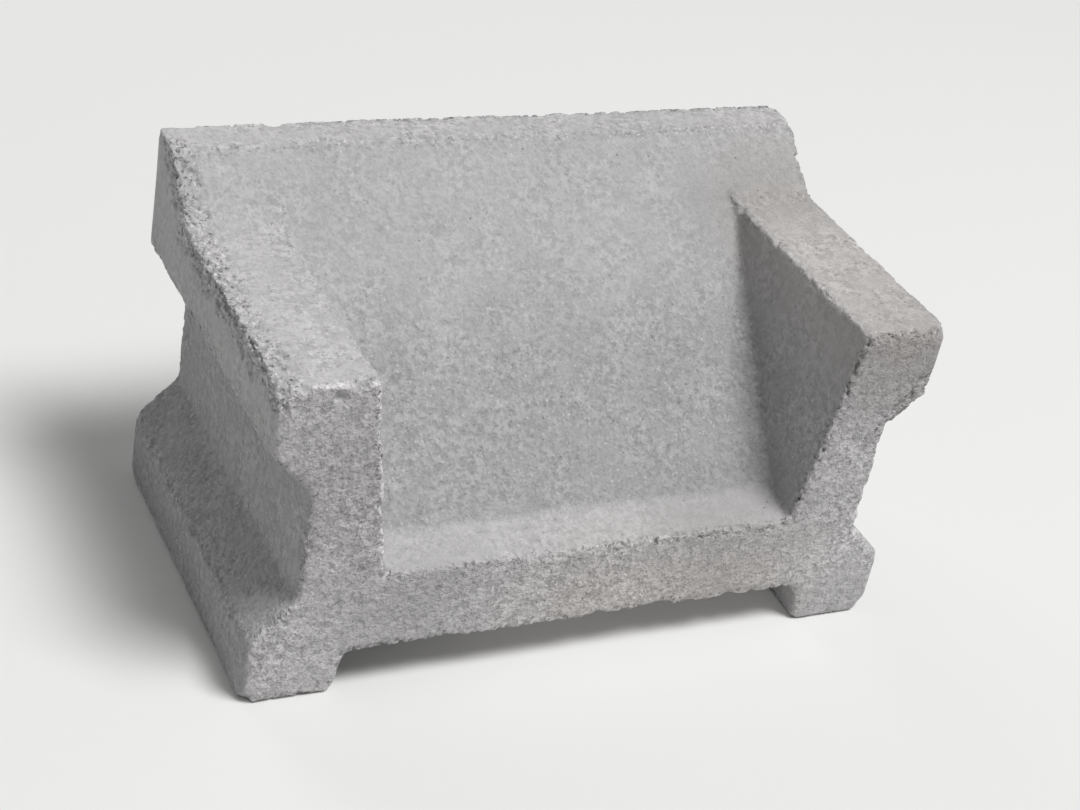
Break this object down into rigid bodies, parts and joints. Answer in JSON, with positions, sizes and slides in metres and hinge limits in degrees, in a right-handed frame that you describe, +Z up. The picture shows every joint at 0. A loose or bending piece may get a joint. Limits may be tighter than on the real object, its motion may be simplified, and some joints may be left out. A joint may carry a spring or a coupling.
{
  "type": "concrete louvre block",
  "caption": "Precast concrete louvre block: grooved end cheeks joined by a sloping blade, with a weather upstand at the back and a lip at the front.",
  "frame": {"origin": "on the floor under the middle of the block, midway between its ends and its faces", "axes": "+X to the right along the block, +Y from the lip face to the upstand face, +Z up from the feet"},
  "size_m": [0.29, 0.163, 0.169],
  "materials": {
    "concrete": "rough, open-textured dry-cast concrete, unpainted"
  },
  "bodies": {
    "root": {"louvre_block": "concrete"}
  },
  "joints": []
}
